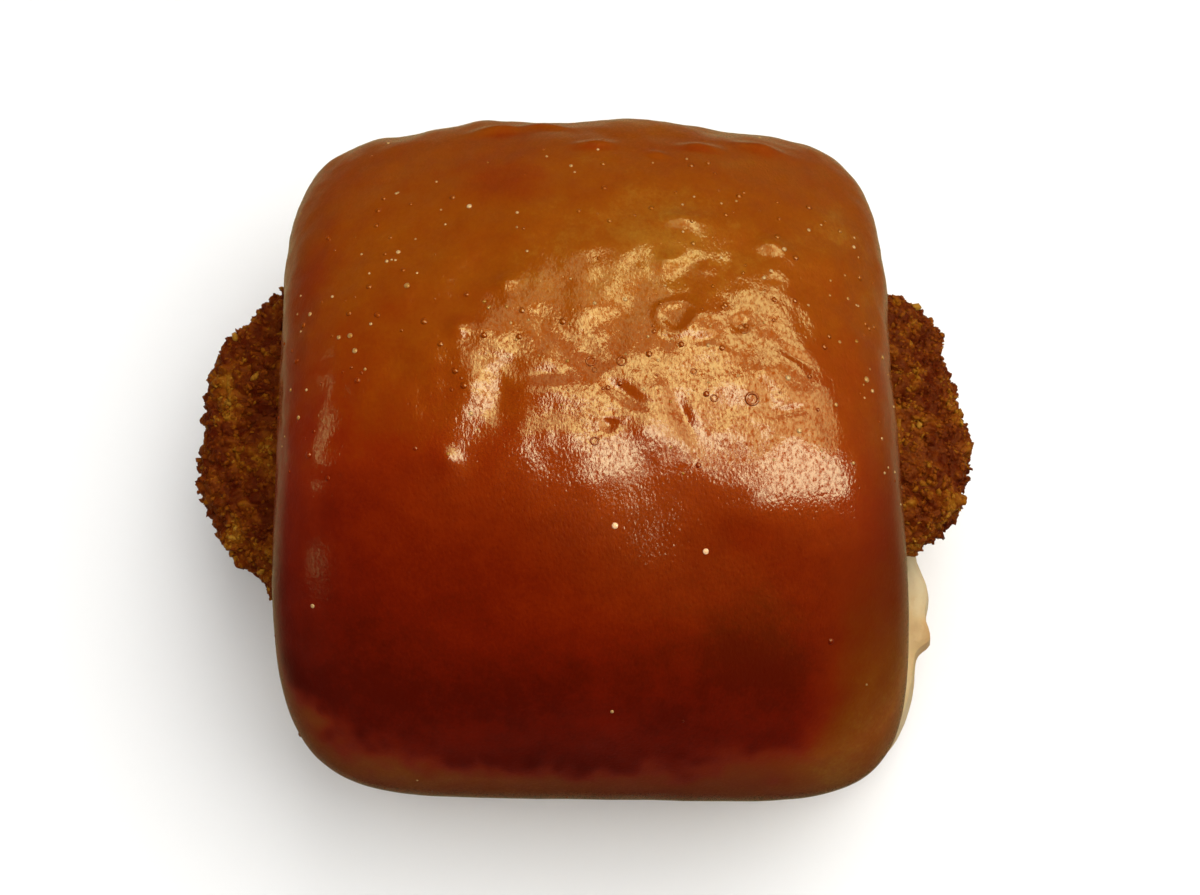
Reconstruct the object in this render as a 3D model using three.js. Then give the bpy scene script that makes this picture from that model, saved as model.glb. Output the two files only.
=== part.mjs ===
// A croquette bun: a soft, nearly square milk roll with a glossy browned top, sliced through
// and filled with one oval breaded croquette that sticks out of the cut at both sides.
// Units are millimetres, +Z is up, +X is to the right and +Y points to the back.
// Three solids: the sliced-off top, the croquette, and the pale bottom half that it stands on.
import * as THREE from "three";
import { MeshSurfaceSampler } from "three/addons/math/MeshSurfaceSampler.js";
import { mergeVertices } from "three/addons/utils/BufferGeometryUtils.js";

// The croquette, an oval patty with rounded sides.
const PATTY_LENGTH = 108;
const PATTY_DEPTH = 73;
const PATTY_THICKNESS = 20;
const PATTY_BACKSET = 4.2; // its centre lies this far behind the bun's
const PATTY_SIDESET = -0.4;
const PATTY_TURN = THREE.MathUtils.degToRad(1.8);
const PATTY_OVAL = 2.1; // exponent of its plan, 2 for a true ellipse
const PATTY_EDGE = 2.6; // exponent of its section, larger for a flatter face
const PATTY_MIDDLE = 24; // height of its mid plane

// The bun.
const BUN_WIDTH = 84.2;
const BUN_DEPTH = 93;
const BUN_HEIGHT = 60;
const BACK_SQUARENESS = 5; // exponent of its plan: 2 is round, higher is squarer
const FRONT_SQUARENESS = 5.4;
const RIGHT_SQUARER = 0.8; // added to it at the right
const FRONT_SPREAD = 0.03; // share by which the front is wider than the middle
const SKEW = [0.022, 0.012]; // how far the back left and front right corners are drawn out
const PINCH = 0.07; // how far the rim is drawn in for each millimetre that it is lifted
const CROWN_FLATNESS = 2.1; // exponents of the dome's profile, 2 for an ellipse: on top,
const FRONT_SHOULDER = 2.3; // at the front and back,
const SIDE_SHOULDER = 3.2; // and at the left and right, where the croquette props it up
const CROWN_RADIUS = 44; // the level lines turn from the outline's square into a circle on top,
const CROWN_SPAN = 4; // over more of the dome the higher this exponent is

// The slice between the halves. The top sags over the croquette until its rim meets this level.
const TOP_CUT_LEVEL = 18.6;
const BOTTOM_CUT_LEVEL = 16.2;
const CUT_BLEND = 2.4; // how softly the level cut turns into the patty's form
const CLEARANCE = 1.1; // free space kept round the croquette, crumbs included
const VAULT_TANGENT = 0.93; // share of the patty's radius where its outline goes on straight

// The rim of the top half: from its widest line it curls in and down to the cut.
const RIM_HEIGHT = 8;
const RIM_CURL = 2.6;

// The bottom half, slightly to the right of the top, with a flat browned base.
const BASE_WIDTH = 87;
const BASE_DEPTH = 88;
const BASE_SIDESET = 3.9;
const BASE_BACKSET = 1.2;
const BASE_FOOT = 5.5; // radius of the rounded lower edge
const BASE_BELLY = 1.4; // how far the side bulges past the cut edge
// Its outline bulges in one blister and is drawn in at the back right: [degrees, spread, height].
const BASE_BUMPS = [
  [-24.5, 0.11, 2.3],
  [38, 0.3, -3.4],
];

// Undulation of the crust: long shallow waves in the plan, as [height, wavelength, heading].
const SWELLS = [
  [0.24, 41, 0.4],
  [0.12, 29, 1.9],
  [0.09, 23, 2.8],
];

// Crumbs of the breading, as lumps that stand out of the patty.
const CRUMB_COUNT = 620;
const CRUMB_RADIUS = [1.7, 3.3];
const CRUMB_HEIGHT = [0.35, 0.95];
const CRUMB_SEED = 11;
// One coarse flake that sticks out, placed from the patty's centre.
const FLAKE = { x: 45.5, y: 19.5, z: 3, radius: 2.4, height: 2.3 };

// Facets.
const TOP_SIDES = 80;
const TOP_RINGS = { dome: 15, rim: 5, cut: 6 };
const BASE_SIDES = 72;
const BASE_RINGS = { cut: 7, side: 5, foot: 3, base: 2 };
const PATTY_CELLS = [28, 34, 9]; // along, across and through the patty
const END_CROWDING = 0.4; // how much closer they stand at the two ends, from 0 to 0.5

const TURN = 2 * Math.PI;
const { degToRad, lerp, seededRandom } = THREE.MathUtils;

// Distance from the centre to a rounded square in the direction of an angle.
function squareRadius(angle, width, depth) {
  const x = Math.abs(Math.cos(angle)) / (width / 2);
  const y = Math.abs(Math.sin(angle)) / (depth / 2);
  const frontToBack = lerp(FRONT_SQUARENESS, BACK_SQUARENESS, (1 + Math.sin(angle)) / 2);
  const squareness = frontToBack + RIGHT_SQUARER * Math.max(0, Math.cos(angle));
  return (x ** squareness + y ** squareness) ** (-1 / squareness);
}

// A soft bump in the outline, 1 at its own angle and fading over its spread.
function bumpAt(angle, centre, spread) {
  const away = Math.atan2(Math.sin(angle - centre), Math.cos(angle - centre));
  return Math.exp(-((away / spread) ** 2));
}

// Height of the crust's undulation over a point of the plan.
function swell(x, y) {
  const wave = ([height, length, heading]) =>
    height * Math.sin((TURN / length) * (x * Math.cos(heading) + y * Math.sin(heading)) + length);
  return SWELLS.reduce((sum, each) => sum + wave(each), 0);
}

// Height of the patty's surface over its mid plane at a point of the bun's plan, clearance
// included. Near the outline and beyond it, the curve goes on along its tangent.
function pattyRise(x, y) {
  const dx = x - PATTY_SIDESET;
  const dy = y - PATTY_BACKSET;
  const along = dx * Math.cos(PATTY_TURN) + dy * Math.sin(PATTY_TURN);
  const across = dy * Math.cos(PATTY_TURN) - dx * Math.sin(PATTY_TURN);
  const u = Math.abs(along) / (PATTY_LENGTH / 2 + CLEARANCE);
  const v = Math.abs(across) / (PATTY_DEPTH / 2 + CLEARANCE);
  const reach = (u ** PATTY_OVAL + v ** PATTY_OVAL) ** (1 / PATTY_OVAL);
  const held = Math.min(reach, VAULT_TANGENT);
  const rise = (1 - held ** PATTY_EDGE) ** (1 / PATTY_EDGE);
  const slope = -(held ** (PATTY_EDGE - 1)) * (1 - held ** PATTY_EDGE) ** (1 / PATTY_EDGE - 1);
  return (PATTY_THICKNESS / 2 + CLEARANCE) * (rise + slope * (reach - held));
}

// The larger of two numbers, with the kink between them rounded off.
function softLarger(first, second) {
  return (first + second + Math.hypot(first - second, CUT_BLEND)) / 2;
}

// The underside of the top half, draped over the croquette, and the upper face of the bottom.
function vaultHeight(x, y) {
  return softLarger(TOP_CUT_LEVEL, PATTY_MIDDLE + pattyRise(x, y));
}
function bedHeight(x, y) {
  return -softLarger(-BOTTOM_CUT_LEVEL, pattyRise(x, y) - PATTY_MIDDLE);
}

// A closed body from a list of rings, from the top pole to the bottom one. Each ring is a
// function of the angle that gives a point, and the first and last give one point each.
function ringedBody(rings, sides) {
  const body = new THREE.SphereGeometry(1, sides, rings.length - 1);
  const { position, uv } = body.attributes;
  for (let i = 0; i < position.count; i++) {
    const ring = rings[Math.round((1 - uv.getY(i)) * (rings.length - 1))];
    position.setXYZ(i, ...ring(uv.getX(i) * TURN));
  }
  return closed(body);
}

// The same geometry with shared vertices merged and fresh normals.
function closed(geometry) {
  geometry.deleteAttribute("normal");
  geometry.deleteAttribute("uv");
  const merged = mergeVertices(geometry, 1e-4);
  merged.computeVertexNormals();
  return merged;
}

// The shares 0, 1/n ... of n steps, without the last unless asked for.
function steps(count, withLast = false) {
  return Array.from({ length: count + (withLast ? 1 : 0) }, (_, i) => i / count);
}

// The top half: a glossy dome, a rim that curls in, and the cut face draped over the patty.
function topHalf() {
  const outline = (angle) => {
    const radius = squareRadius(angle, BUN_WIDTH, BUN_DEPTH);
    const x = radius * Math.cos(angle) * (1 - FRONT_SPREAD * Math.sin(angle));
    const y = radius * Math.sin(angle);
    const lift = vaultHeight(x, y) - TOP_CUT_LEVEL;
    const drawnIn = 1 - (PINCH * lift) / radius;
    return [(x - SKEW[0] * y) * drawnIn, (y - SKEW[1] * x) * drawnIn];
  };
  const cutEdge = (angle) => {
    const [x, y] = outline(angle);
    const inset = 1 - RIM_CURL / Math.hypot(x, y);
    return [x * inset, y * inset];
  };
  const edgeHeight = (angle) => vaultHeight(...cutEdge(angle));

  const dome = (share) => (angle) => {
    const shoulder = lerp(FRONT_SHOULDER, SIDE_SHOULDER, Math.cos(angle) ** 4);
    const reach = Math.sin((share * Math.PI) / 2);
    const rise = (1 - reach ** shoulder) ** (1 / CROWN_FLATNESS);
    const [edgeX, edgeY] = outline(angle);
    const x = reach * lerp(CROWN_RADIUS * Math.cos(angle), edgeX, reach ** CROWN_SPAN);
    const y = reach * lerp(CROWN_RADIUS * Math.sin(angle), edgeY, reach ** CROWN_SPAN);
    const widest = edgeHeight(angle) + RIM_HEIGHT;
    return [x, y, widest + (BUN_HEIGHT - widest + swell(x, y)) * rise];
  };
  const rim = (share) => (angle) => {
    const down = (share * Math.PI) / 2;
    const [x, y] = outline(angle);
    const inset = 1 - (RIM_CURL * (1 - Math.cos(down))) / Math.hypot(x, y);
    const height = edgeHeight(angle) + RIM_HEIGHT * (1 - Math.sin(down));
    return [x * inset, y * inset, height];
  };
  const cut = (share) => (angle) => {
    const [x, y] = cutEdge(angle).map((size) => size * (1 - share));
    return [x, y, vaultHeight(x, y)];
  };

  const rings = [
    ...steps(TOP_RINGS.dome).map(dome),
    ...steps(TOP_RINGS.rim).map(rim),
    ...steps(TOP_RINGS.cut, true).map(cut),
  ];
  return ringedBody(rings, TOP_SIDES);
}

// The bottom half: the bed of the croquette, a pale bulging side and a flat base.
function bottomHalf() {
  const outline = (angle, inset) => {
    const bump = ([centre, spread, height]) => height * bumpAt(angle, degToRad(centre), spread);
    const bumps = BASE_BUMPS.reduce((sum, each) => sum + bump(each), 0);
    const radius = squareRadius(angle, BASE_WIDTH, BASE_DEPTH) + bumps - inset;
    return [radius * Math.cos(angle) + BASE_SIDESET, radius * Math.sin(angle) + BASE_BACKSET];
  };
  const cut = (share) => (angle) => {
    const [x, y] = outline(angle, BASE_BELLY);
    const inner = [lerp(BASE_SIDESET, x, share), lerp(BASE_BACKSET, y, share)];
    return [...inner, bedHeight(...inner)];
  };
  const side = (share) => (angle) => {
    const edge = outline(angle, BASE_BELLY);
    const inset = BASE_BELLY * (1 - Math.sin((share * Math.PI) / 2));
    return [...outline(angle, inset), lerp(bedHeight(...edge), BASE_FOOT, share)];
  };
  const foot = (share) => (angle) => {
    const turn = (share * Math.PI) / 2;
    return [...outline(angle, BASE_FOOT * (1 - Math.cos(turn))), BASE_FOOT * (1 - Math.sin(turn))];
  };
  const base = (share) => (angle) => {
    const [x, y] = outline(angle, BASE_FOOT);
    return [lerp(x, BASE_SIDESET, share), lerp(y, BASE_BACKSET, share), 0];
  };

  const rings = [
    ...steps(BASE_RINGS.cut).map(cut),
    ...steps(BASE_RINGS.side).map(side),
    ...steps(BASE_RINGS.foot).map(foot),
    ...steps(BASE_RINGS.base, true).map(base),
  ];
  return ringedBody(rings, BASE_SIDES);
}

// The croquette's smooth form: the surface of a finely divided box, each point pushed in or
// out to the oval patty. It has no poles, and its cells crowd towards the ends that show.
function smoothPatty() {
  const patty = new THREE.BoxGeometry(2, 2, 2, ...PATTY_CELLS);
  const { position } = patty.attributes;
  for (let i = 0; i < position.count; i++) {
    const crowded = Math.sin(position.getX(i) * END_CROWDING * Math.PI);
    const x = crowded / Math.sin(END_CROWDING * Math.PI);
    const y = Math.tan((position.getY(i) * Math.PI) / 4);
    const z = Math.tan((position.getZ(i) * Math.PI) / 4);
    const plan = (Math.abs(x) ** PATTY_OVAL + Math.abs(y) ** PATTY_OVAL) ** (1 / PATTY_OVAL);
    const out = (plan ** PATTY_EDGE + Math.abs(z) ** PATTY_EDGE) ** (-1 / PATTY_EDGE);
    position.setXYZ(
      i,
      (out * x * PATTY_LENGTH) / 2,
      (out * y * PATTY_DEPTH) / 2,
      (out * z * PATTY_THICKNESS) / 2,
    );
  }
  return closed(patty);
}

// Crumbs scattered evenly over the patty, each with its place, radius and height.
function scatteredCrumbs(patty) {
  seededRandom(CRUMB_SEED);
  const sampler = new MeshSurfaceSampler(new THREE.Mesh(patty));
  sampler.setRandomGenerator(() => seededRandom()).build();
  const crumbs = Array.from({ length: CRUMB_COUNT }, () => {
    const place = new THREE.Vector3();
    sampler.sample(place);
    const size = seededRandom();
    return { place, radius: lerp(...CRUMB_RADIUS, size), height: lerp(...CRUMB_HEIGHT, size) };
  });
  const flake = new THREE.Vector3(FLAKE.x, FLAKE.y, FLAKE.z);
  return [...crumbs, { place: flake, radius: FLAKE.radius, height: FLAKE.height }];
}

// The breaded croquette: the smooth patty with each vertex raised by the highest crumb there.
function croquette() {
  const patty = smoothPatty();
  const crumbs = scatteredCrumbs(patty);
  const { position, normal } = patty.attributes;
  const lowest = CRUMB_HEIGHT[1] / 2; // the crumbs stand half in and half out of the patty
  const point = new THREE.Vector3();
  const outward = new THREE.Vector3();
  for (let i = 0; i < position.count; i++) {
    point.fromBufferAttribute(position, i);
    outward.fromBufferAttribute(normal, i);
    const raised = crumbs.reduce((highest, { place, radius, height }) => {
      const share = 1 - point.distanceToSquared(place) / radius ** 2;
      return share > 0 ? Math.max(highest, height * Math.sqrt(share)) : highest;
    }, 0);
    point.addScaledVector(outward, raised - lowest);
    position.setXYZ(i, point.x, point.y, point.z);
  }
  patty.rotateZ(PATTY_TURN);
  patty.translate(PATTY_SIDESET, PATTY_BACKSET, PATTY_MIDDLE);
  return patty;
}

// A named piece with its own matt or glossy material.
function piece(name, geometry, color, roughness) {
  const material = new THREE.MeshStandardMaterial({ color, roughness, metalness: 0 });
  const mesh = new THREE.Mesh(geometry, material);
  mesh.name = name;
  return mesh;
}

const bun = new THREE.Group();
bun.add(piece("bun_top", topHalf(), 0x963f08, 0.25));
bun.add(piece("croquette", croquette(), 0x6e3410, 0.8));
bun.add(piece("bun_bottom", bottomHalf(), 0xd8bd8c, 0.7));

// The origin is under the middle of the whole, on the surface that it stands on.
const extent = new THREE.Box3().setFromObject(bun);
const middle = extent.getCenter(new THREE.Vector3());
bun.position.set(-middle.x, -middle.y, -extent.min.z);

export default bun;
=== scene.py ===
import math

import bmesh
import bpy
import numpy as np
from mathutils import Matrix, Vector, noise


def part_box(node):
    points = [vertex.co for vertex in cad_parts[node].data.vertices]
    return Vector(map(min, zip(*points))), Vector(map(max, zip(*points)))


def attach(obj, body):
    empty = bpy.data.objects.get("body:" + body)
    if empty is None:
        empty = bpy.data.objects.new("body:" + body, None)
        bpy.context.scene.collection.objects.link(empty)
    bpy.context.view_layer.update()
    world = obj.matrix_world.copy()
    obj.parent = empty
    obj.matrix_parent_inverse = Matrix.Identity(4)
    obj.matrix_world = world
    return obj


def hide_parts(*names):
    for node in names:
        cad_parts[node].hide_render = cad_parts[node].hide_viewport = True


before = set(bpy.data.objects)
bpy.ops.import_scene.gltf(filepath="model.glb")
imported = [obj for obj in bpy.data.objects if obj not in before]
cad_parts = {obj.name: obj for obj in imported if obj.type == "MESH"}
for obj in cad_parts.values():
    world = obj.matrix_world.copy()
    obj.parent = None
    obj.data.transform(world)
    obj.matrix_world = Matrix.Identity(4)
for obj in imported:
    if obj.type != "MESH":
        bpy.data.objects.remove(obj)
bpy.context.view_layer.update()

MM = 0.001
TURN = 2 * math.pi

# The croquette.
PATTY_LENGTH = 108
PATTY_DEPTH = 73
PATTY_THICKNESS = 20
PATTY_BACKSET = 4.2
PATTY_SIDESET = -0.4
PATTY_TURN = math.radians(1.8)
PATTY_OVAL = 2.1
PATTY_EDGE = 2.6
PATTY_MIDDLE = 24

# The roll and its slice.
BUN_WIDTH = 84.2
BUN_DEPTH = 93
BUN_HEIGHT = 60
BACK_SQUARENESS = 5
FRONT_SQUARENESS = 5.4
RIGHT_SQUARER = 0.8
FRONT_SPREAD = 0.03
SKEW = (0.022, 0.012)
PINCH = 0.07
CROWN_FLATNESS = 2.1
FRONT_SHOULDER = 2.3
SIDE_SHOULDER = 3.2
CROWN_RADIUS = 44
CROWN_SPAN = 4
TOP_CUT_LEVEL = 18.6
BOTTOM_CUT_LEVEL = 16.2
CUT_BLEND = 2.4
CLEARANCE = 1.1
VAULT_TANGENT = 0.93
RIM_HEIGHT = 8
RIM_CURL = 2.6
SWELLS = ((0.24, 41, 0.4), (0.12, 29, 1.9), (0.09, 23, 2.8))

# The bottom half.
BASE_WIDTH = 87
BASE_DEPTH = 88
BASE_SIDESET = 3.9
BASE_BACKSET = 1.2
BASE_FOOT = 5.5
BASE_BELLY = 1.4
BLISTER_ANGLE = math.radians(-28.2)
# Where its side stands out or back: angle, spread, height, share of it left at the foot.
BASE_BUMPS = (
    (BLISTER_ANGLE, 0.04, 2.1, 0.1),
    (math.radians(-22), 0.08, 2.1, 0.4),
    (math.radians(38), 0.3, -3.4, 1),
)

# Unevenness of the glazed crust: the length and the height of its lumps, and the share of it
# that is left in front and at the back.
CRUST_LUMPS = ((8.5, 0.42), (4.2, 0.2), (2.0, 0.09))
CRUST_LIVELINESS = (0.22, 0.85)
# Low hills and dents of the glazed crust, in the plan of the drawing:
# x, y, half length, half width, heading in degrees, height.
HILLS = (
    (12.6, 25.8, 2.5, 1.1, -3, 0.42),
    (24.2, 22.2, 2.0, 1.2, -20, 0.42),
    (10.7, 19.4, 1.7, 1.3, 20, 0.42),
    (-16.2, 9.7, 1.4, 1.3, 0, 0.36),
    (-17.4, -7.4, 2.0, 1.4, -40, 0.34),
    (-10.3, 16.2, 1.3, 1.2, 0, 0.36),
    (-11.2, 0.3, 9.5, 3.0, 69, -0.6),
    (-2.0, 1.2, 3.4, 2.6, 0, 0.28),
    (11.5, -7.5, 4.5, 4.0, 0, 0.22),
    (19.5, -13.2, 6.5, 4.0, 0, 0.3),
    (4.8, 1.1, 3.0, 1.0, -34, -0.32),
    (12.1, -1.7, 3.2, 0.9, -65, -0.3),
    (-4.2, 3.6, 2.2, 0.9, 0, -0.2),
    (25.8, -0.9, 2.2, 0.45, 14, -0.24),
    (26.2, 6.6, 2.4, 0.6, -32, -0.24),
    (15.3, 8.4, 1.6, 0.7, 10, -0.2),
    (19.5, 10.5, 1.2, 1.0, 0, -0.3),
    (-11.8, 42.2, 3.2, 0.7, 6, 0.8),
    (-5.6, 43.0, 2.6, 0.6, -4, 0.6),
    (1.0, 38.4, 2.6, 0.7, 0, 0.6),
    (9.3, 36.9, 1.3, 0.5, -10, 0.4),
    (14.8, 38.6, 2.8, 0.7, -4, 0.6),
    (23.4, 39.4, 3.2, 0.8, -12, 0.7),
    (-25.0, 44.0, 3.5, 3.0, 0, -0.6),
    (-15.0, 45.2, 2.5, 2.5, 0, 0.4),
    (6.0, 45.6, 6.0, 3.0, 0, 0.6),
    (18.0, 44.2, 3.5, 2.5, 0, -0.6),
)
# Collapsed blisters: x, y, radius, height of the ring, depth inside.
COLLAPSED = (
    (11.4, 11.4, 2.3, 0.18, 0.06),
    (2.7, -3.1, 1.15, 0.1, 0.22),
)
COLLAPSED_RING = 0.28
COLLAPSED_HOLLOW = 0.72
# Tiny blisters strewn over the glaze, and burst ones: x, y, radius.
BUBBLE_COUNT = 260
BUBBLE_SIZES = (0.16, 0.46)
BUBBLE_SIDES = 10
BUBBLE_SEED = 5
BUBBLE_RINGS = (-0.3, 0.25, 0.7, 1.15)
BUBBLE_ROOT = -0.35
BUBBLE_RISE = 0.55
# Some smaller tiny blisters get a pale golden bake: painted glints.
PAINTED_GLINT_SIZE = 0.5
PAINTED_GLINT_BAKE = 0.14
RING_SIDES = 20
RING_SECTION = 6
RING_THICKNESS = 0.26
BURST_BUBBLES = (
    (0.7, 5.7, 0.55),
    (4.6, 5.6, 0.55),
    (16.2, 0.8, 0.42),
    (21.0, 0.5, 0.75),
    (1.4, -5.3, 0.48),
    (1.3, 4.3, 0.3),
    (13.9, 4.1, 0.35),
    (20.2, 10.2, 0.6),
)
# Small pale flecks set on the glaze: x, y, radius.
FLECKS = (
    (3.6, -15.8, 0.42),
    (15.1, -18.5, 0.4),
)
FLECK_RISE = 0.3
FLECK_BAKE = -0.5
# Browning of the glaze: at the back, in front, more at the left side and less at the right one,
# at the paler corner in front on the right and below it, lower down and at the hem.
BACK_BAKE = 0.37
FRONT_BAKE = 0.95
SIDE_BAKE = 0.05
CORNER_BAKE = 0.5
CORNER_FOOT_BAKE = 0.28
LOW_BAKE = 0.32
LOW_MIDDLE_BAKE = 0.14
HEM_BAKE = 0.2
# Between which heights the crust turns lower down and to its pale hem, and its ragged edge
# there: the length and the height of the edge's waves.
LOW_CRUST = (42, 35)
HEM = (31, 22)
RAGGED_WAVES = ((7, 4), (2.2, 2))
# Darker and paler blotches of the glaze, as hills of the browning, with painted shade on the folds at
# the back and a painted golden sheen round the highlight.
BROWNING_SHADE_AND_SHEEN = (
    (-9.5, 31, 6, 3.4, 0, 0.13),
    (-37, 19, 3, 5, 0, 0.12),
    (19, -31, 4.5, 2.6, 0, 0.03),
    (-30, -10, 6, 5, 0, 0.08),
    (-7, -27, 12, 6, 0, -0.05),
    (-12, -35, 6, 3, 10, 0.06),
    # Painted golden sheen round the highlight.
    (4, 16, 20, 12, 15, -0.07),
    (-18, 30, 12, 12, 0, 0.05),
    (23, -32, 13, 7, 0, 0.06),
    (38, -6, 5, 9, 0, -0.08),
    # Painted shade on the front flanks of the folds at the back.
    (1, 37.7, 2.6, 0.6, 0, 0.2),
    (14.8, 37.9, 2.8, 0.6, -4, 0.2),
    (23.4, 38.6, 3, 0.7, -12, 0.12),
    (-11.8, 41.2, 3, 0.7, 6, 0.16),
    (-22, -33, 12, 5, 0, 0.03),
)

# Browning, from pale to darkest.
CRUST_BROWNING = (
    (0, (0.8, 0.48, 0.25)),
    (0.07, (0.5, 0.33, 0.14)),
    (0.2, (0.28, 0.11, 0.008)),
    (0.34, (0.23, 0.049, 0.0007)),
    (0.5, (0.2, 0.026, 0.0002)),
    (0.68, (0.18, 0.0095, 0.0001)),
    (0.86, (0.118, 0.003, 0.0001)),
    (1, (0.064, 0.0013, 0.0001)),
)
PALE_BROWNING = (
    (0, (0.58, 0.5, 0.32)),
    (0.3, (0.5, 0.31, 0.12)),
    (0.6, (0.32, 0.13, 0.028)),
    (1, (0.1, 0.03, 0.006)),
)
FRIED_BROWNING = (
    (0, (0.075, 0.006, 0.0003)),
    (0.3, (0.13, 0.0195, 0.0005)),
    (0.5, (0.188, 0.041, 0.001)),
    (0.7, (0.24, 0.077, 0.0025)),
    (1, (0.37, 0.17, 0.016)),
)
# Noise laid over each browning: scale, detail, roughness, share.
GLAZE_MOTTLING = ((95, 3, 0.55, 0.3), (420, 3, 0.7, 0.2), (1900, 2, 0.7, 0.16))
PALE_MOTTLING = ((110, 3, 0.55, 0.25), (700, 3, 0.7, 0.1))
FRIED_MOTTLING = ((2600, 3, 0.7, 0.5),)
# How much the painted shade darkens the crust's colour, then the egg wash and its fine grain: drawn
# out in streaks, with small pits.
SHADE_DARKENING = 0.42
GRAIN_STRETCH = (1, 0.62, 1)
GRAIN_TURN = math.radians(35)
GRAIN_SCALE = 2500
GRAIN_DEPTH = 0.00003
PIT_SCALE = 1900
PIT_EDGE = (0.08, 0.42)
PIT_DEPTH = 0.32
WASH_SCALE = 2400
WASH_WEIGHT = 0.7
WASH_ROUGHNESS = 0.08
WASH_IOR = 1.6
LIVELY_SCALE = 70

# Breading: packed crumbs by their size and relief, how deep they sink, wider lumps by their
# length and height, and loose crumbs by their radius.
COARSE_SIZE = 2.1
COARSE_RELIEF = 0.65
FINE_SIZE = 1.1
FINE_RELIEF = 0.35
BREADING_SINK = 0.85
BREADING_LUMPS = ((5.5, 1.3), (2.6, 0.9))
CRUMB_COUNT = 9000
CRUMB_SIZES = (0.2, 0.62)
CRUMB_SEED = 23
CRUMB_LUMPS = (0.75, 1.2)
CRUMB_LIFT = (-0.6, -0.05)
# Between which distances from the middle, in metres, the ends come out of the roll.
BARE_ENDS = (0.033, 0.039)
HIDDEN_SHARE = 0.02
# Coarse flakes of the breading, in the frame: x, y, z, radius, tone.
FLAKES = (
    (47.4, 23.6, 27, 1.0, 0.95),
    (-43.2, 25.6, 27, 0.55, 0.7),
    (46.0, 4.6, 31, 0.6, 0.95),
    (-48.8, 17.6, 30, 0.8, 0.9),
    (54.0, 3.4, 25, 0.7, 0.6),
)
# Where the breading stands out or back at its ends, in the frame: x, y, radius, height.
BREADING_HILLS = (
    (-47.5, 20, 4, -0.2),
    (-50, 19, 1.4, -0.6),
    (-50.6, 16, 1.8, 1.3),
    (-51.6, 13, 3, 0.8),
    (-47, -15.6, 4.5, -0.9),
    (-54.5, 0, 4, 0.4),
    (43.5, 27.6, 2.4, -2.2),
    (51, 19, 1.6, 1),
    (52.8, 13.4, 1.8, -0.9),
    (55, 4.4, 1.5, -0.6),
    (51.5, -6.5, 2, 0.9),
    (45.5, -14.5, 2.4, -1.8),
    (52, 10, 6, -0.8),
    (48.4, 17, 3, -0.9),
    (47, 21, 3.5, -0.6),
    (47.4, -12.6, 3.5, -1.4),
    (54.6, 0.5, 3, 0.6),
)
# Golden areas, in the plan of the frame: x, y, radius.
GOLDEN_SPOTS = (
    (46.0, 5.6, 2.2),
    (45.6, -10.5, 2.4),
    (49.0, -4.0, 2.0),
    (-49.6, -10.2, 2.6),
    (-46.0, -17.6, 2.0),
    (-50.6, 11.4, 2.0),
)

# Browning of the pale half's side, and what its foot has more.
PALE_BAKE = 0.14
FOOT_BAKE = 0.5
# Golden places round the side of the pale half: angle, spread, reach inwards, browning.
GOLDEN_TIPS = (
    (BLISTER_ANGLE, 0.035, 2, 0.12),
    (BLISTER_ANGLE - 0.05, 0.15, 8, 0.17),
)

# Fineness of the meshes.
CROWN_CELLS = 260
RIM_RINGS = 18
CUT_RINGS = 10
BASE_SIDES = 480
BASE_RINGS = {"cut": 26, "side": 26, "foot": 14, "base": 14}
PALE_EDGE_RINGS = 5
PATTY_CELLS = (36, 260, 130)

# The camera, from the outline in the photograph.
CAMERA_ELEVATION = math.radians(76)
CAMERA_DISTANCE = 0.33
CAMERA_TARGET = Vector((0.0019, 0.0015, 0.0304))
CAMERA_LENS = 72
WARM = (1, 0.96, 0.58)
GOLDEN = (1, 0.9, 0.34)
PANEL_HEIGHT = 1.2
LAMP_HEIGHT = 1.5

# Soft lamps overhead, between these angles to the right and to the back of the zenith, in
# degrees: name, right, back, radiance.
LAMPS = (
    ("key", (-6, 47), (-20, 47), 3.8),
    ("sky", (-70, 60), (-60, 60), 0.7),
    ("fill", (-75, -20), (-50, 50), 0.6),
)
# The panes and the frame of the window that the glaze mirrors, and the weak lights at its left
# side: the same, with the colour.
REFLECTIONS = (
    ("window_low", (23, 64), (-20, 0), 10, WARM),
    ("window_low_left", (15.5, 23), (-8, 0), 11, WARM),
    ("window_corner", (7, 15.5), (-2, 0), 10, WARM),
    ("window", (14, 46), (0, 25), 4.8, GOLDEN),
    ("window_right", (46, 58), (0, 25), 3.2, GOLDEN),
    ("window_left_low", (-1, 14), (3, 13), 11, WARM),
    ("window_left", (-1, 14), (13, 25), 9, GOLDEN),
    ("window_far_left", (-8, -1), (15, 25), 5, GOLDEN),
    ("window_frame", (2, 44), (25, 32), 0.8, GOLDEN),
    ("window_frame_right", (44, 60), (25, 34), 4.2, GOLDEN),
    ("window_upper", (12, 42), (32, 46), 7, GOLDEN),
    ("window_upper_left", (-10, 12), (28, 46), 1.6, GOLDEN),
    ("side_window", (-72, -60), (5, 24), 2, GOLDEN),
    ("side_window_back", (-72, -62), (26, 38), 1.2, GOLDEN),
    ("side_lamp", (-76, -69), (-56, -44), 1, GOLDEN),
)


# Outlines and heights, for arrays of angles or of places in the plan.

def mix(low, high, share):
    return low + (high - low) * share


def smooth_step(low, high, value):
    share = np.clip((value - low) / (high - low), 0, 1)
    return share * share * (3 - 2 * share)


def square_radius(angle, width, depth):
    x = np.abs(np.cos(angle)) / (width / 2)
    y = np.abs(np.sin(angle)) / (depth / 2)
    front_to_back = mix(FRONT_SQUARENESS, BACK_SQUARENESS, (1 + np.sin(angle)) / 2)
    squareness = front_to_back + RIGHT_SQUARER * np.maximum(0, np.cos(angle))
    return (x ** squareness + y ** squareness) ** (-1 / squareness)


def swell(x, y):
    total = 0
    for height, length, heading in SWELLS:
        along = x * math.cos(heading) + y * math.sin(heading)
        total = total + height * np.sin(TURN / length * along + length)
    return total


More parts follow.
